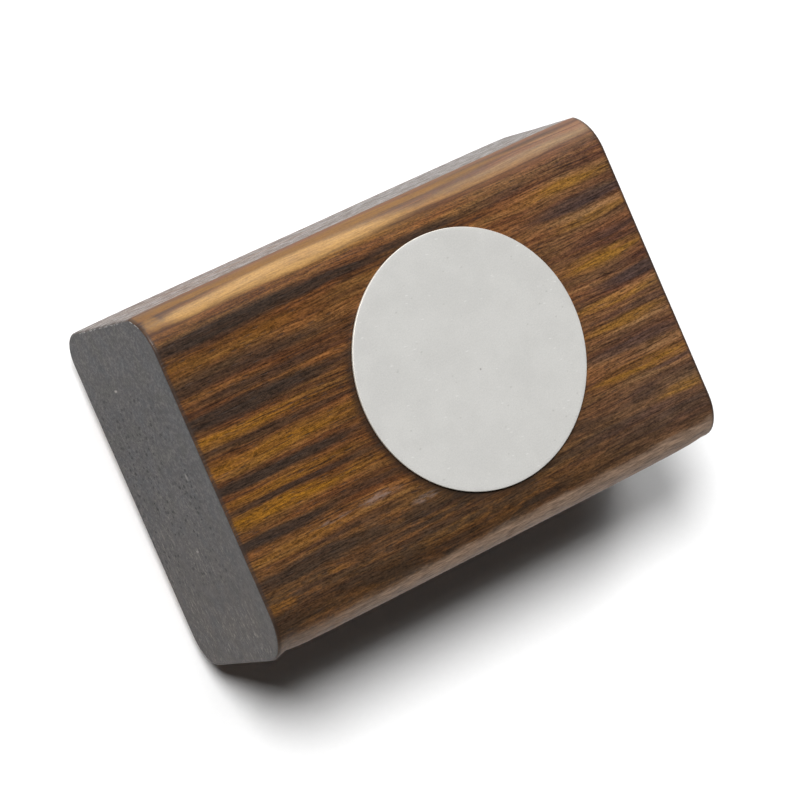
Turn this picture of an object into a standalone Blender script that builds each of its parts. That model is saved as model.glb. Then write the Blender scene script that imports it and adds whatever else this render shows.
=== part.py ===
"""Palm-sized leather strop: a hardwood block with a round metal plate above and leather below.

The block lies on its leather. X runs along the grain, Y across the face and Z up.
The origin is the centre of the leather's resting face. Units are metres.
"""
from math import cos, pi, sin

import bmesh
import bpy

# Driving dimensions.
BLOCK_LENGTH = 0.0785
BLOCK_WIDTH = 0.0515
BLOCK_HEIGHT = 0.0285
FACE_EDGE_RADIUS = 0.0060       # the long edges beside the plate
BACK_EDGE_RADIUS = 0.0045       # the long edges beside the leather
END_ARRIS = 0.0004              # sanded break round each sawn end

LEATHER_THICKNESS = 0.0020
LEATHER_END_MARGIN = 0.0020     # from each end of the block
LEATHER_SIDE_MARGIN = 0.0005    # from where each back edge starts to round
LEATHER_CORNER_RADIUS = 0.0020
LEATHER_EDGE_BREAK = 0.0003
GLUE_SHEET_THICKNESS = 0.0002
GLUE_SHEET_MARGIN = 0.0004      # from the leather's outline

PLATE_DIAMETER = 0.0380
PLATE_THICKNESS = 0.0004
PLATE_EDGE_BREAK = 0.0001
PLATE_CENTRE_X = 0.0049         # the plate sits off centre, towards the +X end
PLATE_CENTRE_Y = 0.0004
TAPE_THICKNESS = 0.0002
TAPE_MARGIN = 0.0008            # from the plate's rim

CONTACT_GAP = 0.0003            # kept between bonded faces

# Heights that follow from them.
GLUE_BASE = LEATHER_THICKNESS + CONTACT_GAP
BLOCK_BASE = GLUE_BASE + GLUE_SHEET_THICKNESS + CONTACT_GAP
BLOCK_TOP = BLOCK_BASE + BLOCK_HEIGHT
TAPE_BASE = BLOCK_TOP + CONTACT_GAP
PLATE_BASE = TAPE_BASE + TAPE_THICKNESS + CONTACT_GAP

LEATHER_LENGTH = BLOCK_LENGTH - 2 * LEATHER_END_MARGIN
LEATHER_WIDTH = BLOCK_WIDTH - 2 * (BACK_EDGE_RADIUS + LEATHER_SIDE_MARGIN)

# Facets.
EDGE_ARC_STEPS = 14
CORNER_ARC_STEPS = 8
DISC_SIDES = 96
SHARP_ANGLE = pi / 5            # edges steeper than this stay sharp, and are the ones broken


def clear_scene():
    for item in list(bpy.data.objects):
        bpy.data.objects.remove(item, do_unlink=True)


def make_material(name, colour, roughness, metallic=0.0):
    material = bpy.data.materials.new(name)
    material.use_nodes = True
    shader = material.node_tree.nodes["Principled BSDF"]
    shader.inputs["Base Color"].default_value = (*colour, 1.0)
    shader.inputs["Roughness"].default_value = roughness
    shader.inputs["Metallic"].default_value = metallic
    return material


def arc(centre, radius, start, end, steps):
    """Points on a circular arc, both ends included, angles in radians."""
    points = []
    for step in range(steps + 1):
        angle = start + (end - start) * step / steps
        points.append((centre[0] + radius * cos(angle), centre[1] + radius * sin(angle)))
    return points


def rounded_rectangle(low, high, low_radius, high_radius, steps):
    """Anticlockwise outline; low_radius rounds the two corners at low[1], high_radius the others."""
    outline = arc((high[0] - low_radius, low[1] + low_radius), low_radius, -pi / 2, 0, steps)
    outline += arc((high[0] - high_radius, high[1] - high_radius), high_radius, 0, pi / 2, steps)
    outline += arc((low[0] + high_radius, high[1] - high_radius), high_radius, pi / 2, pi, steps)
    outline += arc((low[0] + low_radius, low[1] + low_radius), low_radius, pi, 1.5 * pi, steps)
    return outline


def extrude_outline(name, corners, travel, material):
    """Raise the face through the given corners along travel into a closed solid object."""
    mesh = bpy.data.meshes.new(name)
    shape = bmesh.new()
    face = shape.faces.new([shape.verts.new(corner) for corner in corners])
    raised = bmesh.ops.extrude_face_region(shape, geom=[face])["geom"]
    moved = [item for item in raised if isinstance(item, bmesh.types.BMVert)]
    bmesh.ops.translate(shape, verts=moved, vec=travel)
    bmesh.ops.recalc_face_normals(shape, faces=shape.faces)
    shape.to_mesh(mesh)
    shape.free()
    mesh.shade_smooth()
    mesh.set_sharp_from_angle(angle=SHARP_ANGLE)
    mesh.materials.append(material)
    part = bpy.data.objects.new(name, mesh)
    bpy.context.collection.objects.link(part)
    return part


def break_edges(part, width, segments):
    bevel = part.modifiers.new("edge_break", "BEVEL")
    bevel.width = width
    bevel.segments = segments
    bevel.limit_method = "ANGLE"
    bevel.angle_limit = SHARP_ANGLE


def flat_slab(name, length, width, radius, thickness, base, material):
    """A level rectangular sheet with rounded corners, centred on the origin."""
    outline = rounded_rectangle(
        (-length / 2, -width / 2), (length / 2, width / 2), radius, radius, CORNER_ARC_STEPS)
    part = extrude_outline(name, [(x, y, 0.0) for x, y in outline], (0.0, 0.0, thickness), material)
    part.location.z = base
    return part


def flat_disc(name, diameter, thickness, base, material):
    """A level round sheet on the plate's centre line."""
    outline = arc((0.0, 0.0), diameter / 2, 0.0, 2 * pi, DISC_SIDES)[:-1]
    part = extrude_outline(name, [(x, y, 0.0) for x, y in outline], (0.0, 0.0, thickness), material)
    part.location = (PLATE_CENTRE_X, PLATE_CENTRE_Y, base)
    return part


def make_wood_block():
    wood = make_material("striped_hardwood", (0.16, 0.085, 0.035), 0.42)
    outline = rounded_rectangle(
        (-BLOCK_WIDTH / 2, 0.0), (BLOCK_WIDTH / 2, BLOCK_HEIGHT),
        BACK_EDGE_RADIUS, FACE_EDGE_RADIUS, EDGE_ARC_STEPS)
    corners = [(-BLOCK_LENGTH / 2, y, z) for y, z in outline]
    block = extrude_outline("wood_block", corners, (BLOCK_LENGTH, 0.0, 0.0), wood)
    break_edges(block, END_ARRIS, 2)
    block.location.z = BLOCK_BASE


def make_strop_leather():
    tan = make_material("tan_leather", (0.42, 0.24, 0.12), 0.62)
    leather = flat_slab("strop_leather", LEATHER_LENGTH, LEATHER_WIDTH, LEATHER_CORNER_RADIUS,
                        LEATHER_THICKNESS, 0.0, tan)
    break_edges(leather, LEATHER_EDGE_BREAK, 2)


def make_leather_glue_sheet():
    amber = make_material("dried_contact_cement", (0.50, 0.36, 0.16), 0.35)
    flat_slab("leather_glue_sheet", LEATHER_LENGTH - 2 * GLUE_SHEET_MARGIN,
              LEATHER_WIDTH - 2 * GLUE_SHEET_MARGIN, LEATHER_CORNER_RADIUS - GLUE_SHEET_MARGIN,
              GLUE_SHEET_THICKNESS, GLUE_BASE, amber)


def make_round_plate():
    steel = make_material("matte_steel", (0.60, 0.60, 0.57), 0.50, 1.0)
    plate = flat_disc("round_plate", PLATE_DIAMETER, PLATE_THICKNESS, PLATE_BASE, steel)
    break_edges(plate, PLATE_EDGE_BREAK, 1)


def make_plate_tape():
    white = make_material("white_tape", (0.72, 0.70, 0.64), 0.60)
    flat_disc("plate_tape", PLATE_DIAMETER - 2 * TAPE_MARGIN, TAPE_THICKNESS, TAPE_BASE, white)


def main():
    clear_scene()
    make_strop_leather()
    make_leather_glue_sheet()
    make_wood_block()
    make_plate_tape()
    make_round_plate()


main()
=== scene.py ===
"""Looks for a palm-sized strop: a striped hardwood block, strop leather below, a round metal plate above.

Everything is in metres in the part's own frame: +X along the grain, +Y across, +Z up.
Patterns are laid out in millimetres, through the coordinates that Graph.millimetres gives.
"""

import math

import bpy
from mathutils import Matrix, Vector, noise


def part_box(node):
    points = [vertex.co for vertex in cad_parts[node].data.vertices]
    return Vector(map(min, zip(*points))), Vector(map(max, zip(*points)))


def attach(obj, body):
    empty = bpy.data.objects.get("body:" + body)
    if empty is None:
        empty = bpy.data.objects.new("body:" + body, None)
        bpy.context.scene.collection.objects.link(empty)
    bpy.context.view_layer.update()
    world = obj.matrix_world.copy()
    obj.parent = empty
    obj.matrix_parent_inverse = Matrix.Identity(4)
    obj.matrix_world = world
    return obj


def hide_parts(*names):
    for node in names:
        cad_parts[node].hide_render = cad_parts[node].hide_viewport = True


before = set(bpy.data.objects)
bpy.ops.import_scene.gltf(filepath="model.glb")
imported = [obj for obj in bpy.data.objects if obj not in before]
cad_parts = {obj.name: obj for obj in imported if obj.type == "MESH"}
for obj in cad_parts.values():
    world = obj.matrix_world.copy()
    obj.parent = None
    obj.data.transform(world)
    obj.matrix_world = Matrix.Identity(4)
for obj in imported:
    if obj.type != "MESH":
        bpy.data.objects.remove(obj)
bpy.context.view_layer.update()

MM = 0.001

# The block's long edges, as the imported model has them: beside the plate, and beside the leather.
FACE_EDGE_RADIUS = 0.0060
BACK_EDGE_RADIUS = 0.0045

# How the block is divided: rings in from the middle of each end, round its arris, and along the sides.
END_INSETS = (0.0040, 0.0020, 0.0010)
END_ARRIS = 0.00035
END_ARRIS_STEPS = 3
RINGS_BESIDE_END = (0.0007, 0.0013, 0.0022, 0.0035)
EVEN_RINGS_START = 0.0055  # from here on they are evenly spaced
EVEN_RINGS = 34

# How the real block is out of true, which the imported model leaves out.
HIGH_SIDE_CREASE = 17.0  # degrees of the rounding at high y that are missing, which leaves a crease
LOW_END_SKEW, HIGH_END_SKEW = -0.0085, -0.0155  # how much each sawn end leans in x per metre of y
LOW_END_OUT, HIGH_END_OUT = 0.00012, 0.00030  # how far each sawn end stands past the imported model
LOW_END_LEAN = 0.0158  # the end at low x also overhangs, by this much for each metre of height
LOW_SIDE_BELLY, HIGH_SIDE_BELLY = 0.00042, 0.00013  # how far each long side swells out in the middle
BELLY_FLATNESS = 10  # the higher, the later that swelling falls away towards the ends
LOW_CORNER_WEAR, HIGH_CORNER_WEAR = 0.00140, 0.00030  # how far the upright edges at low y are worn
CORNER_WEAR_REACH = 0.0045  # how far from the end that wear reaches
HAND_WAVE = 0.00005  # how far hand sanding leaves the surfaces from true
ARRIS_NICKS = 0.00006  # how deep the arris is nicked

LEATHER_CORNER_RADIUS = 0.0020
LEATHER_EDGE_RADIUS = 0.0005
LEATHER_TOP = 0.00245
LEATHER_EDGE_WAVER = 0.00012
GLUE_BOTTOM, GLUE_TOP = 0.00242, 0.00284  # it reaches a little way into the leather and the block
GLUE_SQUEEZE = 0.00025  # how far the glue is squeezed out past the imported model
GLUE_EDGE_WAVER = 0.00030

PLATE_EDGE_RADIUS = 0.00010
PLATE_LIFT = 0.00022  # the tape's thickness under the plate
PLATE_PIT = (0.7, -1.9)  # the one small pit, in mm from the middle
TAPE_EDGE_RADIUS = 0.00005
TAPE_GAP = 0.00004  # left above the wood, which is not quite flat

FLOOR_HALF, FLOOR_LEVEL = 12.0, -0.00005

# Lamps: name, azimuth in degrees from +Y towards -X, elevation, how wide it looks, strength.
LAMPS = [
    ("key", 34.5, 55.0, 23.0, 3.75),
    ("second", -12.0, 61.0, 28.0, 0.78),
    ("low_side", -28.0, 12.0, 26.0, 1.60),
]
SURROUND_LOW, SURROUND_OVERHEAD = 0.95, 0.02  # the surround's brightness near the floor and above

# A long lens, fitted to the view that the object is shown in.
CAMERA_PLACE = Vector((-0.26232, 0.05530, 0.51890))
CAMERA_AIM = Vector((-0.00796, -0.00051, 0.03130))
CAMERA_UP = Vector((0.38735, 0.91680, 0.09713))
CAMERA_LENS = 176.2

# Bands in the wood, as they meet the top face, in mm: (x, y, half length, half width, strength).
DARK_BANDS = [
    (-30.0, 19.5, 23.0, 1.9, 1.00),
    (-12.0, 19.1, 15.0, 1.2, 0.95),
    (4.0, 19.7, 14.0, 1.1, 0.85),
    (18.0, 19.9, 10.0, 1.1, 0.55),
    (-31.0, 14.0, 25.0, 1.7, 0.80),
    (-26.0, 11.1, 18.0, 1.1, 0.70),
    (-33.0, 8.5, 27.0, 1.8, 1.00),
    (-28.0, 3.9, 25.0, 0.6, 0.60),
    (-32.0, -1.3, 25.0, 1.2, 1.00),
    (-28.0, -4.7, 23.0, 0.6, 0.70),
    (-35.0, -9.9, 17.0, 1.3, 1.00),
    (-19.0, -9.4, 11.0, 0.8, 0.65),
    (-31.0, -15.5, 17.0, 1.5, 0.85),
    (-22.0, -13.7, 12.0, 0.5, 0.55),
    (-13.0, -16.4, 15.0, 0.5, 0.60),
    (-15.0, -17.7, 15.0, 0.6, 0.60),
    (-10.0, -18.9, 14.0, 0.6, 0.60),
    (-33.0, -21.0, 25.0, 1.6, 0.55),
    (33.0, 14.3, 16.0, 1.4, 0.75),
    (34.0, 8.4, 10.0, 0.9, 0.40),
    (38.0, 1.5, 13.0, 1.3, 0.85),
    (34.0, -3.1, 11.0, 0.7, 0.30),
    (31.0, -7.9, 14.0, 1.1, 0.70),
    (37.0, -12.6, 7.0, 0.5, 0.55),
    (29.5, -15.0, 4.0, 1.1, 0.40),
    (24.0, -18.3, 16.0, 1.1, 0.55),
    (32.0, -20.2, 14.0, 1.6, 0.35),
    (8.0, -22.1, 5.0, 0.8, 0.85),
]
GOLD_BANDS = [
    (-30.0, 16.7, 22.0, 1.5, 0.35),
    (-33.0, 5.5, 20.0, 1.3, 0.80),
    (-29.0, 1.7, 22.0, 1.8, 0.75),
    (-30.0, -3.4, 20.0, 1.1, 0.60),
    (-32.0, -6.4, 24.0, 1.6, 1.00),
    (-31.0, -12.6, 13.0, 1.2, 0.45),
    (-37.5, -19.2, 4.0, 2.0, 0.35),
    (-29.0, -18.3, 5.0, 1.3, 0.25),
    (-8.0, 22.2, 24.0, 1.0, 0.40),
    (30.0, 17.4, 14.0, 1.4, 0.65),
    (33.0, 11.7, 11.0, 1.0, 0.45),
    (32.0, 5.5, 11.0, 1.6, 0.75),
    (31.0, -0.9, 11.0, 1.1, 0.60),
    (31.0, -4.4, 11.0, 1.3, 0.55),
    (31.0, -11.3, 14.0, 1.4, 0.65),
    (36.0, -16.9, 7.0, 1.2, 0.60),
]
# Pale bands along the rounding at high y: partly paler wood, partly a painted highlight.
PALE_AND_HIGHLIGHT_BANDS = [
    (-15.0, 24.0, 28.0, 2.1, 1.00),
    (-31.0, 24.0, 8.0, 1.6, 0.90),
    (22.0, 24.1, 26.0, 1.2, 0.35),
]
AMBER_BANDS = [
    (-10.0, 26.4, 44.0, 1.1, 0.85),
    (-38.0, 24.6, 1.6, 2.0, 0.80),
]
RUST_BANDS = [
    (0.0, 27.7, 90.0, 0.5, 1.00),
]
# Each set of bands: its colour, how far out it keeps its full strength, how patchiness changes that.
BAND_LOOKS = [
    (GOLD_BANDS, (0.188, 0.079, 0.006), 0.25, (0.34, 0.60, 0.30, 1.00)),
    (AMBER_BANDS, (0.165, 0.074, 0.010), 0.50, (0.30, 0.60, 0.60, 1.00)),
    (PALE_AND_HIGHLIGHT_BANDS, (0.325, 0.178, 0.050), 0.40, (0.30, 0.60, 0.60, 1.00)),
    (RUST_BANDS, (0.120, 0.045, 0.015), 0.30, (0.30, 0.60, 0.40, 1.00)),
    (DARK_BANDS, (0.026, 0.016, 0.011), 0.40, (0.35, 0.68, 1.00, 0.90)),
]
# Marks on the top face, as the bands are given, and on the end at low x, by (y, z) instead of (x, y).
SCUFFS = [
    (-16.8, -11.5, 4.8, 0.90, 1.0),
    (-24.5, -11.6, 4.0, 0.50, 0.8),
    (-10.2, -14.5, 3.0, 0.75, 1.0),
]
END_SCRATCHES = [
    (16.1, 13.2, 0.30, 0.70, 0.8),
    (2.0, 24.0, 0.80, 0.45, 0.4),
    (-9.0, 17.0, 0.25, 0.60, 0.5),
]


# ---------------------------------------------------------------- shapes


def arc(centre, radius, start, end, steps):
    """Points on an arc with their outward normals, as (u, v, nu, nv), from angle start to end."""
    points = []
    for i in range(steps + 1):
        angle = math.radians(start + (end - start) * i / steps)
        nu, nv = math.cos(angle), math.sin(angle)
        points.append((centre[0] + radius * nu, centre[1] + radius * nv, nu, nv))
    return points


def rounded_outline(low, high, radii, steps, pitch, crease=0.0):
    """A closed outline with four rounded corners: high-high, low-high, low-low, high-low.

    The first corner leaves out this many degrees of its rounding, so the outline starts at a crease.
    """
    corners = [(high[0], high[1]), (low[0], high[1]), (low[0], low[1]), (high[0], low[1])]
    arcs = []
    for i, (u, v) in enumerate(corners):
        centre_u = u - radii[i] if u == high[0] else u + radii[i]
        centre_v = v - radii[i] if v == high[1] else v + radii[i]
        start = crease if i == 0 else 90 * i
        arcs.append(arc((centre_u, centre_v), radii[i], start, 90 * i + 90, steps))
    outline = []
    for i, points in enumerate(arcs):
        outline += points
        last, nxt = points[-1], arcs[(i + 1) % 4][0]
        length = math.hypot(nxt[0] - last[0], nxt[1] - last[1])
        count = max(1, round(length / pitch))
        for k in range(1, count):
            t = k / count
            u, v = last[0] + (nxt[0] - last[0]) * t, last[1] + (nxt[1] - last[1]) * t
            outline.append((u, v, last[2], last[3]))
    return outline


def round_outline(centre, radius, steps):
    """A closed circle."""
    return arc(centre, radius, 0, 360, steps)[:-1]


def rounded_profile(low, high, radius, steps, insets):
    """(inset, height) from the middle of the low end to the middle of the high end, with rounded rims."""
    rim = []
    for i in range(steps + 1):
        angle = math.radians(90 * i / steps)
        rim.append((radius * (1 - math.sin(angle)), radius * (1 - math.cos(angle))))
    start = [(inset, low) for inset in insets]
    start += [(inset, low + rise) for inset, rise in rim]
    finish = [(inset, high - rise) for inset, rise in reversed(rim)]
    finish += [(inset, high) for inset in reversed(insets)]
    return start, finish


def loft(name, outline, profile, place):
    """A closed mesh of one ring for each (inset, height), capped at both ends. place gives the point."""
    count = len(outline)
    points = [place(u - nu * inset, v - nv * inset, height) for inset, height in profile
              for u, v, nu, nv in outline]
    faces = [tuple(reversed(range(count)))]
    for ring in range(len(profile) - 1):
        for i in range(count):
            a, b = ring * count + i, ring * count + (i + 1) % count
            faces.append((a, b, b + count, a + count))
    faces.append(tuple(range(len(points) - count, len(points))))
    mesh = bpy.data.meshes.new(name)
    mesh.from_pydata(points, [], faces)
    mesh.validate()
    mesh.shade_smooth()
    piece = bpy.data.objects.new(name, mesh)
    bpy.context.scene.collection.objects.link(piece)
    piece.modifiers.new("even_normals", "WEIGHTED_NORMAL")
    return piece


def wave(point, size, seed):
    """Smooth noise between about -1 and 1 that changes over distances of size, a length for each axis."""
    x, y, z = (point[i] / size[i] for i in range(3))
    return noise.noise(Vector((x + seed, y, z)))


# ---------------------------------------------------------------- material nodes


class Graph:
    """One material, with short calls that add its nodes."""

    def __init__(self, name):
        self.material = bpy.data.materials.new(name)
        self.material.use_nodes = True
        self.tree = self.material.node_tree
        self.shader = self.tree.nodes["Principled BSDF"]

    def add(self, kind, **settings):
        node = self.tree.nodes.new(kind)
        for key, value in settings.items():
            setattr(node, key, value)
        return node

    def put(self, socket, value):
        if isinstance(value, bpy.types.NodeSocket):
            self.tree.links.new(value, socket)
        else:
            socket.default_value = value

    def set(self, **values):
        """Sets or links the shader's inputs: base_color is "Base Color", and so on."""
        names = {key.lower().replace(" ", "_"): key for key in self.shader.inputs.keys()}
        for key, value in values.items():
            self.put(self.shader.inputs[names[key]], value)

    def millimetres(self):
        place = self.add("ShaderNodeTexCoord").outputs["Object"]
        return self.vector("SCALE", place, scale=1.0 / MM)

    def attribute(self, name):
        return self.add("ShaderNodeAttribute", attribute_name=name).outputs["Fac"]

    def math(self, operation, a, b=0.0):
        node = self.add("ShaderNodeMath", operation=operation)
        self.put(node.inputs[0], a)
        self.put(node.inputs[1], b)
        return node.outputs[0]

    def vector(self, operation, a, b=None, c=None, scale=None):
        node = self.add("ShaderNodeVectorMath", operation=operation)
        self.put(node.inputs[0], a)
        if b is not None:
            self.put(node.inputs[1], b)
        if c is not None:
            self.put(node.inputs[2], c)
        if scale is not None:
            self.put(node.inputs["Scale"], scale)
        return node.outputs["Value" if operation in ("LENGTH", "DOT_PRODUCT") else "Vector"]

    def parts(self, vector):
        return self.put_in("ShaderNodeSeparateXYZ", vector).outputs

    def join(self, x, y, z):
        node = self.add("ShaderNodeCombineXYZ")
        for socket, value in zip(node.inputs, (x, y, z)):
            self.put(socket, value)
        return node.outputs[0]

    def put_in(self, kind, value, **settings):
        node = self.add(kind, **settings)
        self.put(node.inputs[0], value)
        return node

    def noise(self, place, stretch, detail=2.0, roughness=0.5):
        """Noise between 0 and 1; stretch is how far it runs along each axis before it changes, in mm."""
        scaled = self.vector("MULTIPLY", place, tuple(1.0 / s for s in stretch))
        node = self.add("ShaderNodeTexNoise")
        self.put(node.inputs["Vector"], scaled)
        self.put(node.inputs["Scale"], 1.0)
        self.put(node.inputs["Detail"], detail)
        self.put(node.inputs["Roughness"], roughness)
        return node.outputs["Fac"]

    def cells(self, place, stretch, dimensions="3D"):
        """Distance to the nearest of many scattered points, in cells, and that cell's own random number."""
        scaled = self.vector("MULTIPLY", place, tuple(1.0 / s for s in stretch))
        node = self.add("ShaderNodeTexVoronoi", voronoi_dimensions=dimensions)
        self.put(node.inputs["Vector"], scaled)
        self.put(node.inputs["Scale"], 1.0)
        return node.outputs["Distance"], self.parts(node.outputs["Color"])[0]

    def remap(self, value, low, high, to_low=0.0, to_high=1.0):
        """Changes smoothly from to_low to to_high as value goes from low to high."""
        node = self.add("ShaderNodeMapRange", interpolation_type="SMOOTHSTEP")
        for key, number in zip(("Value", "From Min", "From Max", "To Min", "To Max"),
                               (value, low, high, to_low, to_high)):
            self.put(node.inputs[key], number)
        return node.outputs["Result"]

    def ramp(self, value, stops):
        """A colour for each value, from stops of (value, colour)."""
        node = self.put_in("ShaderNodeValToRGB", value)
        elements = node.color_ramp.elements
        elements[0].position, elements[0].color = stops[0][0], (*stops[0][1], 1.0)
        elements[1].position, elements[1].color = stops[-1][0], (*stops[-1][1], 1.0)
        for position, colour in stops[1:-1]:
            elements.new(position).color = (*colour, 1.0)
        return node.outputs["Color"]

    def mix(self, factor, a, b, mode="MIX"):
        node = self.add("ShaderNodeMix", data_type="RGBA", blend_type=mode)
        self.put(node.inputs[0], factor)
        self.put(node.inputs[6], a if isinstance(a, bpy.types.NodeSocket) else (*a, 1.0))
        self.put(node.inputs[7], b if isinstance(b, bpy.types.NodeSocket) else (*b, 1.0))
        return node.outputs[2]

    def shade(self, colour, value):
        """The colour times a number."""
        grey = self.join(value, value, value)
        return self.mix(1.0, colour, grey, "MULTIPLY")

    def bands(self, place, bands, edge=0.25):
        """How deep a point lies in a list of long bands: their strength, falling to 0 beyond edge."""
        total = None
        for x, y, half_length, half_width, strength in bands:
            size = (1.0 / half_length, 1.0 / half_width, 0.0)
            shift = (-x / half_length, -y / half_width, 0.0)
            away = self.vector("LENGTH", self.vector("MULTIPLY_ADD", place, size, shift))
            depth = self.remap(away, 1.0, edge, 0.0, strength)
            total = depth if total is None else self.math("MAXIMUM", total, depth)
        return total

    def bump(self, height, distance, strength=1.0, under=None):
        node = self.add("ShaderNodeBump")
        self.put(node.inputs["Strength"], strength)
        self.put(node.inputs["Distance"], distance)
        self.put(node.inputs["Height"], height)
        if under is not None:
            self.put(node.inputs["Normal"], under)
        return node.outputs["Normal"]


# ---------------------------------------------------------------- materials


def grain_place(g, place, face_height):
    """Where a point lies in the growth layers: along, and across. They lean and waver on the way down."""
    x, y, z = g.parts(place)
    down = g.math("SUBTRACT", face_height / MM, z)
    across = g.math("ADD", y, g.math("MULTIPLY", down, 0.55))
    slow = g.noise(place, (26.0, 7.0, 7.0), 1.0)
    quick = g.noise(place, (9.0, 1.5, 1.5), 2.0)
    across = g.math("ADD", across, g.math("MULTIPLY", g.math("SUBTRACT", slow, 0.5), 1.8))
    across = g.math("ADD", across, g.math("MULTIPLY", g.math("SUBTRACT", quick, 0.5), 0.6))
    return g.join(x, across, 0.0)


def wood_colours(g, layers, patchy):
    """The stripes: brown heartwood with golden, amber and rusty bands, pale bands that are partly paler
    wood and partly a painted highlight, and dark ones over them; towards high x, a painted haze makes the
    colour lighter and cooler.
    """
    broad = g.noise(layers, (48.0, 2.2, 2.0), 2.0, 0.55)
    fine = g.noise(layers, (24.0, 0.45, 2.0), 4.0, 0.65)
    tone = g.math("ADD", g.math("MULTIPLY", broad, 0.45), g.math("MULTIPLY", fine, 0.55))
    colour = g.ramp(tone, [(0.37, (0.034, 0.014, 0.007)), (0.45, (0.074, 0.029, 0.010)),
                           (0.54, (0.116, 0.048, 0.014)), (0.63, (0.176, 0.078, 0.023))])
    hue = g.noise(layers, (14.0, 2.4, 2.0), 2.0)
    colour = g.mix(1.0, colour, g.ramp(hue, [(0.38, (1.06, 0.96, 0.90)), (0.62, (0.95, 1.02, 0.97))]),
                   "MULTIPLY")
    along, layer = g.parts(layers)[:2]
    colour = g.mix(g.remap(layer, -10.0, -16.0, 0.0, 0.45), colour, (0.066, 0.036, 0.015))
    for bands, band_colour, edge, patchiness in BAND_LOOKS:
        depth = g.math("MULTIPLY", g.bands(layers, bands, edge), g.remap(patchy, *patchiness))
        colour = g.mix(depth, colour, band_colour)
    # Painted haze: towards high x the colour is made lighter and cooler, as if hazed by light.
    painted_haze = g.mix(1.0, colour, (1.20, 1.36, 2.05), "MULTIPLY")
    return g.mix(g.remap(along, 5.0, 35.0), colour, painted_haze)


def smoky_patches(g, layers, colour):
    """Darker, cloudier figure over the part of the face at low y."""
    cloud = g.noise(layers, (7.0, 1.5, 2.0), 4.0, 0.7)
    along, layer = g.parts(layers)[:2]
    there = g.math("MULTIPLY", g.remap(layer, -12.5, -15.0), g.remap(along, 8.0, 30.0, 1.0, 0.55))
    smoke = g.math("MULTIPLY", there, g.remap(cloud, 0.44, 0.58, 0.0, 0.70))
    return g.mix(smoke, colour, (0.034, 0.021, 0.013))


def painted_plate_shadow(g, place, colour, plate_box):
    """A painted shadow of the plate: the wood is darker in a narrow line beside it, on the side towards low
    x and low y.
    """
    low, high = plate_box
    centre = ((low.x + high.x) / 2 / MM, (low.y + high.y) / 2 / MM)
    radius = (high.x - low.x) / 2 / MM
    offset = g.vector("MULTIPLY_ADD", place, (1.0, 1.0, 0.0), (-centre[0], -centre[1], 0.0))
    distance = g.vector("LENGTH", offset)
    toward = g.vector("DOT_PRODUCT", offset, (-0.85, -0.53, 0.0))
    side = g.remap(toward, 2.0, radius * 0.7)
    line = g.remap(distance, radius + 1.5, radius + 0.1, 0.0, 0.75)
    # Painted shadow: the wood is darkened where the plate's shadow falls.
    return g.mix(g.math("MULTIPLY", line, side), colour, (0.020, 0.012, 0.008))


def rubbed_edge_and_painted_sheen(g, place, colour, face_height):
    """Where the rounding at low y is rubbed pale and grey, with a painted sheen over it; gives the colour
    and how much it is rubbed and sheened.
    """
    x, y, z = g.parts(place)
    ragged = g.noise(place, (4.0, 0.9, 0.9), 4.0, 0.7)
    start = g.math("ADD", y, g.math("MULTIPLY", g.math("SUBTRACT", ragged, 0.5), 2.4))
    start = g.math("SUBTRACT", start, g.math("MULTIPLY", x, 0.014))
    rubbed_and_sheen = g.math("MULTIPLY", g.remap(start, -23.0, -24.3), g.remap(z, face_height / MM - 8, 27.0))
    streak = g.noise(place, (2.2, 0.35, 0.35), 3.0, 0.7)
    tint = g.ramp(streak, [(0.35, (0.170, 0.110, 0.074)), (0.65, (0.440, 0.290, 0.190))])
    along = g.remap(x, -40.0, -14.0, 0.45, 0.85)
    # Pale grey tint: partly rubbed wear, partly a painted sheen of the pale surround.
    return g.mix(g.math("MULTIPLY", rubbed_and_sheen, along), colour, tint), rubbed_and_sheen


def painted_side_reflection_and_flecks(g, place, colour, side, handled):
    """The flat side at high y: greyed by a painted reflection, most of all towards high x, with small
    darker flecks.
    """
    x = g.parts(place)[0]
    grey = g.math("ADD", g.remap(x, -30.0, 25.0, 0.30, 0.80), g.remap(x, -26.0, -40.0, 0.0, 0.35))
    grey = g.math("MULTIPLY", side, grey)
    # Painted reflection: the side is greyed as if it mirrored the pale surround.
    colour = g.mix(grey, colour, (0.104, 0.098, 0.094))
    flecks = g.math("MULTIPLY", side, g.remap(handled, 0.36, 0.52, 0.42, 0.0))
    return g.mix(flecks, colour, (0.030, 0.023, 0.018))


def open_grain(g, place, layers, depth, colour):
    """Dark threads, fibres and short pores, as deep as depth; gives the fibres, the pores, the colour."""
    thread = g.noise(layers, (18.0, 0.42, 0.6), 2.0, 0.6)
    threads = g.math("MULTIPLY", g.remap(thread, 0.56, 0.66), g.math("MULTIPLY", depth, 0.65))
    colour = g.mix(threads, colour, (0.030, 0.014, 0.008))
    fibre = g.noise(layers, (3.0, 0.22, 0.3), 3.0, 0.75)
    grit = g.noise(place, (0.42, 0.20, 0.20), 2.0, 0.7)
    fine = g.math("ADD", g.remap(fibre, 0.36, 0.64, -0.36, 0.40), g.remap(grit, 0.34, 0.66, -0.30, 0.36))
    colour = g.shade(colour, g.math("ADD", g.math("MULTIPLY", fine, depth), 1.0))
    spot, chance = g.cells(layers, (2.6, 0.45, 1.0))
    pores = g.math("MULTIPLY", g.remap(spot, 0.34, 0.12), g.remap(chance, 0.45, 0.6))
    pores = g.math("MULTIPLY", pores, depth)
    return fibre, pores, g.mix(g.math("MULTIPLY", pores, 0.55), colour, (0.020, 0.010, 0.006))


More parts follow.
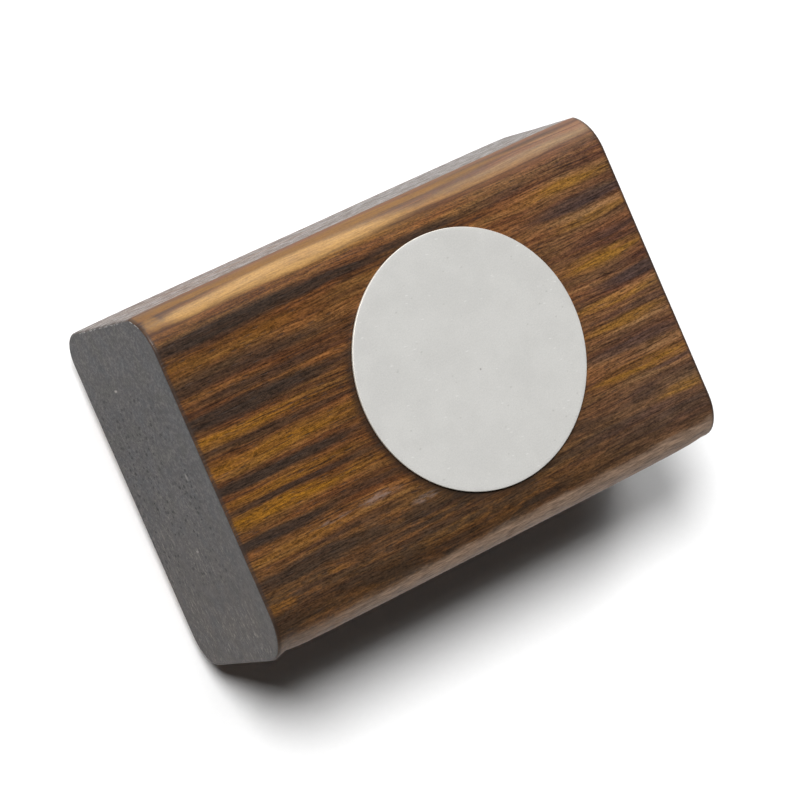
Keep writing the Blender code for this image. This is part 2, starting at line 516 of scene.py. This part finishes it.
def face_marks(g, place, colour):
    """Pale scuffs on the top face, and the dark line of the worn arris at each end."""
    ragged = g.noise(place, (1.6, 0.4, 0.4), 3.0, 0.7)
    scuffs = g.math("MULTIPLY", g.bands(place, SCUFFS), g.remap(ragged, 0.36, 0.64))
    colour = g.mix(g.math("MULTIPLY", scuffs, 0.36), colour, (0.34, 0.25, 0.22))
    return g.mix(g.math("MULTIPLY", g.attribute("arris"), 0.70), colour, (0.030, 0.019, 0.014))


def hardwood_along(face_height, plate_box):
    """Oiled striped hardwood, on the surfaces that run along the grain."""
    g = Graph("hardwood_along")
    place = g.millimetres()
    layers = grain_place(g, place, face_height)
    layer = g.parts(layers)[1]
    patchy = g.noise(layers, (9.0, 0.7, 2.0), 4.0, 0.65)
    colour = smoky_patches(g, layers, wood_colours(g, layers, patchy))
    side = g.remap(layer, 27.9, 28.3)
    handled = g.noise(place, (1.5, 0.5, 0.7), 3.0, 0.7)
    colour = painted_side_reflection_and_flecks(g, place, colour, side, handled)
    grain_depth = g.remap(layer, 21.5, 23.0, 1.0, 0.35)  # shallower on the polished edge at high y
    fibre, pores, colour = open_grain(g, place, layers, grain_depth, colour)
    colour, rubbed_and_sheen = rubbed_edge_and_painted_sheen(g, place, colour, face_height)
    colour = face_marks(g, place, painted_plate_shadow(g, place, colour, plate_box))

    rough = g.math("ADD", g.remap(fibre, 0.3, 0.7, 0.34, 0.48), g.math("MULTIPLY", rubbed_and_sheen, 0.2))
    rough = g.math("ADD", rough, g.math("MULTIPLY", pores, 0.15))
    rough = g.math("ADD", rough, g.math("MULTIPLY", side, g.remap(handled, 0.40, 0.60, -0.14, 0.14)))
    rough = g.math("ADD", rough, g.remap(grain_depth, 1.0, 0.45, 0.0, 0.06))
    height = g.math("SUBTRACT", g.math("MULTIPLY", fibre, grain_depth), g.math("MULTIPLY", pores, 0.8))
    swell = g.noise(place, (16.0, 2.5, 2.5), 2.0)
    normal = g.bump(swell, 0.00012, 0.5, g.bump(height, 0.00004, 0.55))
    g.set(base_color=colour, roughness=rough, normal=normal, specular_ior_level=0.38, ior=1.40)
    return g.material


def hardwood_end():
    """The sawn and sanded ends: greyed end grain with small pores and faint growth rings."""
    g = Graph("hardwood_end")
    place = g.millimetres()
    ring_place = g.vector("MULTIPLY_ADD", place, (0.0, 1.0, 1.0), (0.0, 12.0, 66.0))
    radius = g.vector("LENGTH", ring_place)
    bend = g.noise(place, (9.0, 7.0, 4.0), 2.0)
    radius = g.math("ADD", radius, g.math("MULTIPLY", bend, 2.2))
    rings = g.noise(g.join(radius, 0.0, 0.0), (1.5, 1.0, 1.0), 2.0, 0.6)
    cloud = g.noise(place, (5.0, 4.5, 3.5), 3.0, 0.6)
    grit = g.noise(place, (0.40, 0.42, 0.60), 3.0, 0.80)
    tone = g.math("ADD", g.math("MULTIPLY", rings, 0.12), g.math("MULTIPLY", cloud, 0.12))
    tone = g.math("ADD", tone, g.math("MULTIPLY", grit, 0.76))
    colour = g.ramp(tone, [(0.42, (0.020, 0.019, 0.019)), (0.50, (0.056, 0.053, 0.053)),
                           (0.58, (0.118, 0.109, 0.106))])
    colour = end_hues(g, place, cloud, colour)
    pores, colour = end_pores(g, place, rings, colour)
    colour = end_flecks(g, place, colour)
    colour = end_marks(g, place, colour)

    rough = g.remap(grit, 0.2, 0.8, 0.50, 0.72)
    height = g.math("SUBTRACT", grit, g.math("MULTIPLY", pores, 1.5))
    g.set(base_color=colour, roughness=rough, normal=g.bump(height, 0.00012, 0.7), ior=1.40)
    return g.material


def end_hues(g, place, cloud, colour):
    """Cloudy pinkish, olive and bluish greys; warmer towards low y."""
    y, z = g.parts(place)[1:]
    hue = g.noise(g.vector("ADD", place, (40.0, 7.0, 3.0)), (5.0, 3.6, 3.6), 3.0, 0.6)
    tint = g.ramp(hue, [(0.36, (0.058, 0.062, 0.072)), (0.50, (0.068, 0.059, 0.062)),
                        (0.64, (0.070, 0.066, 0.054))])
    colour = g.mix(0.30, colour, tint)
    warm = g.math("MULTIPLY", g.remap(y, 6.0, -24.0), g.remap(cloud, 0.35, 0.6, 0.4, 1.0))
    colour = g.mix(g.math("MULTIPLY", warm, 0.6), colour, (0.066, 0.053, 0.044))
    return g.mix(g.remap(z, 26.5, 30.5, 0.0, 0.25), colour, (0.064, 0.066, 0.070))


def end_pores(g, place, rings, colour):
    """Scattered open pores of many sizes, mostly about the middle; gives where they are and the colour."""
    x, y, z = g.parts(place)
    flat = g.join(g.math("ADD", y, g.math("MULTIPLY", x, 0.3)), z, 0.0)
    spot, chance = g.cells(flat, (0.80, 1.15, 1.0), "2D")
    shape = g.noise(place, (0.30, 0.30, 0.30), 2.0, 0.6)
    where = g.noise(place, (3.0, 4.5, 3.5), 2.0)
    middle = g.math("MULTIPLY", g.remap(y, 20.0, 12.0), g.remap(y, -19.0, -9.0))
    rows = g.math("MULTIPLY", g.remap(rings, 0.40, 0.55, 0.6, 1.0), g.remap(where, 0.34, 0.46))
    inner = g.math("MULTIPLY", g.remap(z, 28.0, 24.0), middle)
    size = g.remap(chance, 0.35, 0.95, 0.02, 0.36)
    spot = g.math("ADD", spot, g.math("MULTIPLY", g.math("SUBTRACT", shape, 0.5), 0.40))
    pores = g.remap(g.math("SUBTRACT", spot, size), 0.03, -0.05)
    pores = g.math("MULTIPLY", pores, g.math("MULTIPLY", rows, inner))
    return pores, g.mix(g.math("MULTIPLY", pores, 0.90), colour, (0.011, 0.010, 0.010))


def end_flecks(g, place, colour):
    """Pale broken flecks, thickest in the half towards low y, and a mottled, uneven grey."""
    x, y, z = g.parts(place)
    leaning = g.join(g.math("ADD", y, g.math("MULTIPLY", z, 0.3)), g.math("ADD", z, x), 0.0)
    worn = g.noise(g.vector("ADD", place, (9.0, 3.0, 5.0)), (3.0, 5.0, 5.0), 2.0)
    flecks = g.remap(g.noise(leaning, (1.1, 0.45, 1.0), 3.0, 0.75), 0.53, 0.64)
    flecks = g.math("MULTIPLY", flecks, g.remap(y, 10.0, -12.0, 0.30, 1.0))
    flecks = g.math("MULTIPLY", flecks, g.remap(worn, 0.40, 0.54))
    flecks = g.math("MULTIPLY", flecks, g.remap(z, 29.0, 25.0))
    colour = g.mix(g.math("MULTIPLY", flecks, 0.60), colour, (0.200, 0.176, 0.154))
    marks = g.noise(place, (1.0, 0.9, 0.9), 3.0, 0.7)
    return g.shade(colour, g.remap(marks, 0.36, 0.64, 0.74, 1.04))


def end_marks(g, place, colour):
    """The arris: dark, but with pale flecks at high y; and a few scratches on the end at low x."""
    x, y, z = g.parts(place)
    arris = g.attribute("arris")
    colour = g.mix(g.math("MULTIPLY", arris, 0.45), colour, (0.034, 0.031, 0.030))
    pale_arris_flecks = g.remap(g.noise(place, (0.6, 0.7, 0.9), 2.0), 0.50, 0.60)
    pale_arris_flecks = g.math("MULTIPLY", pale_arris_flecks, g.math("MULTIPLY", arris, g.remap(y, 22.0, 24.5)))
    colour = g.mix(g.math("MULTIPLY", pale_arris_flecks, 0.8), colour, (0.40, 0.39, 0.38))
    scratches = g.math("MULTIPLY", g.bands(g.join(y, z, 0.0), END_SCRATCHES), g.remap(x, 1.0, -1.0))
    return g.mix(scratches, colour, (0.32, 0.29, 0.27))


def plate_metal(centre):
    """Matte, fine-grained steel, with a small pit, and specks and scratches that can just be seen."""
    g = Graph("plate_matte_steel")
    place = g.millimetres()
    speck = g.noise(place, (0.22, 0.22, 0.22), 3.0, 0.7)
    cloud = g.noise(place, (5.0, 5.0, 6.0), 3.0, 0.6)
    colour = g.ramp(speck, [(0.30, (0.448, 0.446, 0.430)), (0.50, (0.492, 0.486, 0.467)),
                            (0.70, (0.532, 0.526, 0.505))])
    colour = g.shade(colour, g.remap(cloud, 0.35, 0.65, 0.975, 1.025))
    leaning = g.vector("ADD", place, g.vector("SCALE", g.join(g.parts(place)[1], 0.0, 0.0), scale=1.2))
    scratch, chance = g.cells(leaning, (1.8, 0.7, 1.0))
    marks = g.math("MULTIPLY", g.remap(scratch, 0.18, 0.06), g.remap(chance, 0.55, 0.75))
    colour = g.mix(g.math("MULTIPLY", marks, 0.50), colour, (0.66, 0.655, 0.64))
    fleck, chance = g.cells(g.vector("ADD", place, (5.0, 3.0, 0.0)), (1.6, 1.0, 1.0))
    flecks = g.math("MULTIPLY", g.remap(fleck, 0.17, 0.06), g.remap(chance, 0.60, 0.80))
    colour = g.mix(g.math("MULTIPLY", flecks, 0.50), colour, (0.33, 0.32, 0.30))
    shift = (-(centre[0] / MM + PLATE_PIT[0]), -(centre[1] / MM + PLATE_PIT[1]), 0.0)
    away = g.vector("LENGTH", g.vector("MULTIPLY_ADD", place, (1.0, 1.0, 0.0), shift))
    pit = g.remap(away, 0.22, 0.08)
    colour = g.mix(g.math("MULTIPLY", pit, 0.7), colour, (0.20, 0.19, 0.18))
    rough = g.remap(speck, 0.2, 0.8, 0.62, 0.78)
    height = g.math("SUBTRACT", speck, g.math("MULTIPLY", pit, 2.0))
    g.set(base_color=colour, roughness=rough, metallic=0.15, normal=g.bump(height, 0.000008, 0.5))
    return g.material


def plate_edge_painted_highlight():
    """The plate's stamped edge: smoother steel, painted brighter as a highlight along the rim."""
    g = Graph("plate_edge_with_painted_highlight")
    place = g.millimetres()
    nicks = g.noise(place, (0.5, 0.5, 0.08), 3.0, 0.6)
    # Painted highlight: the rim's colour is brighter than the plate's.
    colour = g.ramp(nicks, [(0.30, (0.58, 0.55, 0.49)), (0.60, (0.70, 0.665, 0.595))])
    rough = g.remap(nicks, 0.3, 0.7, 0.50, 0.40)
    g.set(base_color=colour, roughness=rough, metallic=0.35, normal=g.bump(nicks, 0.00001, 0.5))
    return g.material


def strop_leather():
    """Vegetable-tanned leather: pebbled grain, darker burnished edges, and streaks left by strokes."""
    g = Graph("strop_leather")
    place = g.millimetres()
    z = g.parts(place)[2]
    pebble = g.cells(place, (0.55, 0.55, 0.55))[0]
    hide = g.noise(place, (7.0, 6.0, 6.0), 4.0, 0.6)
    stroke = g.noise(place, (40.0, 0.8, 1.0), 3.0, 0.6)
    colour = g.ramp(hide, [(0.30, (0.27, 0.135, 0.060)), (0.50, (0.39, 0.215, 0.105)),
                           (0.72, (0.50, 0.300, 0.160))])
    colour = g.shade(colour, g.remap(pebble, 0.1, 0.75, 1.06, 0.80))
    inside = g.math("MULTIPLY", g.remap(stroke, 0.46, 0.62), g.remap(z, 0.25, 0.05))
    colour = g.mix(g.math("MULTIPLY", inside, 0.55), colour, (0.090, 0.080, 0.070))
    side = g.remap(z, 0.10, 0.45)
    fibres = g.noise(place, (0.8, 0.8, 0.14), 3.0, 0.7)
    edge = g.ramp(fibres, [(0.30, (0.120, 0.058, 0.028)), (0.70, (0.260, 0.140, 0.070))])
    colour = g.mix(side, colour, edge)
    rough = g.remap(hide, 0.3, 0.7, 0.62, 0.48)
    height = g.math("ADD", pebble, g.math("MULTIPLY", fibres, 0.5))
    g.set(base_color=colour, roughness=rough, normal=g.bump(height, 0.00008, 0.5))
    return g.material


def dried_glue():
    """Contact cement: amber, slightly glossy, with a skin."""
    g = Graph("dried_glue")
    place = g.millimetres()
    skin = g.noise(place, (1.2, 1.2, 0.3), 3.0, 0.6)
    colour = g.ramp(skin, [(0.30, (0.230, 0.135, 0.045)), (0.70, (0.420, 0.280, 0.110))])
    g.set(base_color=colour, roughness=g.remap(skin, 0.3, 0.7, 0.30, 0.50),
          normal=g.bump(skin, 0.00005, 0.6))
    return g.material


def foam_tape():
    """Double-sided tape, seen only as a thin greyed edge."""
    g = Graph("plate_tape")
    place = g.millimetres()
    cell = g.cells(place, (0.12, 0.12, 0.12))[0]
    colour = g.ramp(cell, [(0.10, (0.33, 0.31, 0.28)), (0.70, (0.55, 0.53, 0.49))])
    g.set(base_color=colour, roughness=g.remap(cell, 0.1, 0.7, 0.6, 0.8),
          normal=g.bump(cell, 0.00003, 0.5))
    return g.material


def floor_card():
    """The pale card that the object lies on."""
    g = Graph("floor_card")
    place = g.millimetres()
    fibre = g.noise(place, (0.9, 0.9, 0.9), 3.0, 0.6)
    colour = g.ramp(fibre, [(0.30, (0.925, 0.925, 0.925)), (0.70, (0.94, 0.94, 0.94))])
    g.set(base_color=colour, roughness=g.remap(fibre, 0.3, 0.7, 0.80, 0.90), specular_ior_level=0.2)
    return g.material


# ---------------------------------------------------------------- pieces


def stand_for(piece, node):
    """The piece rides with the block and stands for one CAD node, which is hidden."""
    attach(piece, "root")
    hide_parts(node)


def block_profile(low, high):
    """(inset, x) along the block, with small worn arrises and a ring every 2 mm or so."""
    start, finish = rounded_profile(low, high, END_ARRIS, END_ARRIS_STEPS, END_INSETS)
    inner_low, inner_high = low + EVEN_RINGS_START, high - EVEN_RINGS_START
    middle = [low + step for step in RINGS_BESIDE_END]
    middle += [inner_low + (inner_high - inner_low) * k / EVEN_RINGS for k in range(EVEN_RINGS + 1)]
    middle += [high - step for step in reversed(RINGS_BESIDE_END)]
    return start + [(0.0, x) for x in middle] + finish


def smooth_step(value, low, high):
    """0 below low, 1 above high, with a smooth change between."""
    t = min(1.0, max(0.0, (value - low) / (high - low)))
    return t * t * (3 - 2 * t)


def worn_block(low, high):
    """Gives the function that moves a point of the true block to where sawing and wear have left it."""
    half_x, half_y = (high.x - low.x) / 2, (high.y - low.y) / 2

    def place(y, z, x):
        point = Vector((x, y, z))
        lift = HAND_WAVE * wave(point, (0.021, 0.011, 0.011), 3.0)
        near_end = min(x - low.x, high.x - x)
        if near_end < END_ARRIS * 1.01:
            lift -= ARRIS_NICKS * (0.5 + 0.5 * wave(point, (0.002, 0.0016, 0.0016), 9.0))
        point += Vector((0.0, y, z - (low.z + high.z) / 2)).normalized() * lift
        side = smooth_step(abs(y), half_y - FACE_EDGE_RADIUS, half_y)
        belly = HIGH_SIDE_BELLY if y > 0 else LOW_SIDE_BELLY
        out = belly * (1 - abs(x / half_x) ** BELLY_FLATNESS)
        if y < 0:
            wear = LOW_CORNER_WEAR if x < 0 else HIGH_CORNER_WEAR
            out -= wear * (1 - smooth_step(near_end, -CORNER_WEAR_REACH, CORNER_WEAR_REACH))
        point.y += math.copysign(out * side, y)
        share = (high.x - x) / (high.x - low.x)
        point.x += y * (HIGH_END_SKEW + (LOW_END_SKEW - HIGH_END_SKEW) * share)
        point.x += HIGH_END_OUT * (1 - share) - (LOW_END_OUT + LOW_END_LEAN * (z - low.z)) * share
        return point

    return place


def wood_block():
    """The block: rounded along its length, flat sawn ends a little out of square, edges hand-worn."""
    low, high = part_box("wood_block")
    radii = (FACE_EDGE_RADIUS, FACE_EDGE_RADIUS, BACK_EDGE_RADIUS, BACK_EDGE_RADIUS)
    outline = rounded_outline((low.y, low.z), (high.y, high.z), radii, 10, 0.0015, HIGH_SIDE_CREASE)
    profile = block_profile(low.x, high.x)
    piece = loft("block_of_striped_hardwood", outline, profile, worn_block(low, high))
    mark_ends(piece, len(outline))
    mark_crease(piece, len(outline))
    piece.data.materials.append(hardwood_along(high.z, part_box("round_plate")))
    piece.data.materials.append(hardwood_end())
    stand_for(piece, "wood_block")
    return piece


def mark_crease(piece, count):
    """Keeps the lengthwise crease, where every ring starts, from being smoothed over."""
    for edge in piece.data.edges:
        if all(vertex % count == 0 for vertex in edge.vertices):
            edge.use_edge_sharp = True
    piece.modifiers["even_normals"].keep_sharp = True


def mark_ends(piece, count):
    """Gives the sawn ends the second material, and marks the rings of the arris round each of them."""
    mesh = piece.data
    arris = mesh.attributes.new("arris", "FLOAT", "POINT")
    last = len(mesh.vertices) // count - 1
    first = len(END_INSETS)  # the arris starts at this ring, which still lies flat on the end
    for vertex in mesh.vertices:
        ring = min(vertex.index // count, last - vertex.index // count)
        if first < ring <= first + END_ARRIS_STEPS:
            arris.data[vertex.index].value = 1.0
    for face in mesh.polygons:
        if abs(face.normal.x) > 0.75:
            face.material_index = 1


def slab(name, node, margin, waver, low_z, high_z):
    """A flat bonded layer with slightly rounded, uneven edges."""
    low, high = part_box(node)
    edge = min(LEATHER_EDGE_RADIUS, (high_z - low_z) * 0.45)
    corners = (low.x - margin, low.y - margin), (high.x + margin, high.y + margin)
    outline = rounded_outline(*corners, (LEATHER_CORNER_RADIUS,) * 4, 8, 0.0012)
    start, finish = rounded_profile(low_z, high_z, edge, 4, (0.0018, 0.0010))

    def place(x, y, z):
        out = waver * wave(Vector((x, y, z)), (0.0035, 0.0035, 0.0035), 5.0)
        size_x, size_y = high.x - low.x, high.y - low.y
        return Vector((x * (1 + 2 * out / size_x), y * (1 + 2 * out / size_y), z))

    return loft(name, outline, start + finish, place)


def leather():
    """The strop leather, whose top is drawn up to the glue line."""
    piece = slab("strop_leather_pad", "strop_leather", 0.0, LEATHER_EDGE_WAVER, 0.0, LEATHER_TOP)
    piece.data.materials.append(strop_leather())
    stand_for(piece, "strop_leather")
    return piece


def glue():
    """The thin glue line between leather and block, with a wavering squeezed-out edge."""
    piece = slab("leather_glue_line", "leather_glue_sheet", GLUE_SQUEEZE, GLUE_EDGE_WAVER,
                 GLUE_BOTTOM, GLUE_TOP)
    piece.data.materials.append(dried_glue())
    stand_for(piece, "leather_glue_sheet")
    return piece


def disc(name, node, low_z, high_z, edge, rings):
    """A flat round piece with rounded rims and rings towards its middle."""
    low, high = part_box(node)
    centre = ((low.x + high.x) / 2, (low.y + high.y) / 2)
    outline = round_outline(centre, (high.x - low.x) / 2, 180)
    start, finish = rounded_profile(low_z, high_z, edge, 4, rings)
    return loft(name, outline, start + finish, lambda x, y, z: Vector((x, y, z)))


def plate():
    """The round steel plate, with a stamped edge painted bright as a highlight."""
    low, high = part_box("round_plate")
    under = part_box("wood_block")[1].z + PLATE_LIFT
    rings = (0.0170, 0.0120, 0.0060, 0.0015, 0.0006)
    piece = disc("round_steel_plate", "round_plate", under, under + (high.z - low.z),
                 PLATE_EDGE_RADIUS, rings)
    centre = ((low.x + high.x) / 2, (low.y + high.y) / 2)
    piece.data.materials.append(plate_metal(centre))
    piece.data.materials.append(plate_edge_painted_highlight())
    for face in piece.data.polygons:
        if abs(face.normal.z) < 0.97:
            face.material_index = 1
    stand_for(piece, "round_plate")
    return piece


def tape():
    """The disc of double-sided tape under the plate, a little smaller than it."""
    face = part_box("wood_block")[1].z
    piece = disc("plate_tape_disc", "plate_tape", face + TAPE_GAP, face + PLATE_LIFT,
                 TAPE_EDGE_RADIUS, (0.0160, 0.0080, 0.0020))
    piece.data.materials.append(foam_tape())
    stand_for(piece, "plate_tape")
    return piece


# ---------------------------------------------------------------- studio


def floor():
    """A plain pale floor just under the leather."""
    mesh = bpy.data.meshes.new("floor")
    ends = (-FLOOR_HALF, FLOOR_HALF)
    corners = [(x, y, FLOOR_LEVEL) for y in ends for x in ends]
    mesh.from_pydata(corners, [], [(0, 1, 3, 2)])
    card = bpy.data.objects.new("floor", mesh)
    bpy.context.scene.collection.objects.link(card)
    mesh.materials.append(floor_card())


def lamp(name, azimuth, elevation, spread, strength):
    """A far soft lamp, as the list of lamps has it."""
    light = bpy.data.lights.new(name, "SUN")
    light.angle = math.radians(spread)
    light.energy = strength
    turn, rise = math.radians(azimuth), math.radians(elevation)
    away = Vector((-math.sin(turn) * math.cos(rise), math.cos(turn) * math.cos(rise), math.sin(rise)))
    holder = bpy.data.objects.new(name, light)
    holder.rotation_mode = "QUATERNION"
    holder.rotation_quaternion = away.to_track_quat("Z", "Y")
    bpy.context.scene.collection.objects.link(holder)


def pale_world(horizon, overhead):
    """A surround that is pale near the floor and dim above, where the lamps are."""
    world = bpy.data.worlds.new("pale_surround")
    world.use_nodes = True
    tree = world.node_tree
    place = tree.nodes.new("ShaderNodeTexCoord")
    split = tree.nodes.new("ShaderNodeSeparateXYZ")
    fade = tree.nodes.new("ShaderNodeMapRange")
    fade.interpolation_type = "SMOOTHSTEP"
    numbers = {"From Min": 0.04, "From Max": 0.18, "To Min": horizon, "To Max": overhead}
    for key, number in numbers.items():
        fade.inputs[key].default_value = number
    tree.links.new(place.outputs["Generated"], split.inputs[0])
    tree.links.new(split.outputs["Z"], fade.inputs["Value"])
    tree.links.new(fade.outputs["Result"], tree.nodes["Background"].inputs["Strength"])
    tree.nodes["Background"].inputs["Color"].default_value = (1.0, 1.0, 1.0, 1.0)
    bpy.context.scene.world = world


def camera():
    """A long lens, looking down on the plate from beyond the end at low x."""
    data = bpy.data.cameras.new("camera")
    data.lens = CAMERA_LENS
    data.sensor_width = 36.0
    data.clip_start = 0.05
    data.clip_end = 20.0
    holder = bpy.data.objects.new("camera", data)
    ahead = (CAMERA_AIM - CAMERA_PLACE).normalized()
    right = ahead.cross(CAMERA_UP).normalized()
    turn = Matrix((right, right.cross(ahead), -ahead)).transposed().to_4x4()
    holder.matrix_world = Matrix.Translation(CAMERA_PLACE) @ turn
    bpy.context.scene.collection.objects.link(holder)
    bpy.context.scene.camera = holder


def studio():
    """The floor, the surround, the lamps and the camera."""
    bpy.context.scene.view_settings.view_transform = "Standard"
    floor()
    pale_world(SURROUND_LOW, SURROUND_OVERHEAD)
    for name, azimuth, elevation, spread, strength in LAMPS:
        lamp(name, azimuth, elevation, spread, strength)
    camera()


wood_block()
leather()
glue()
plate()
tape()
studio()
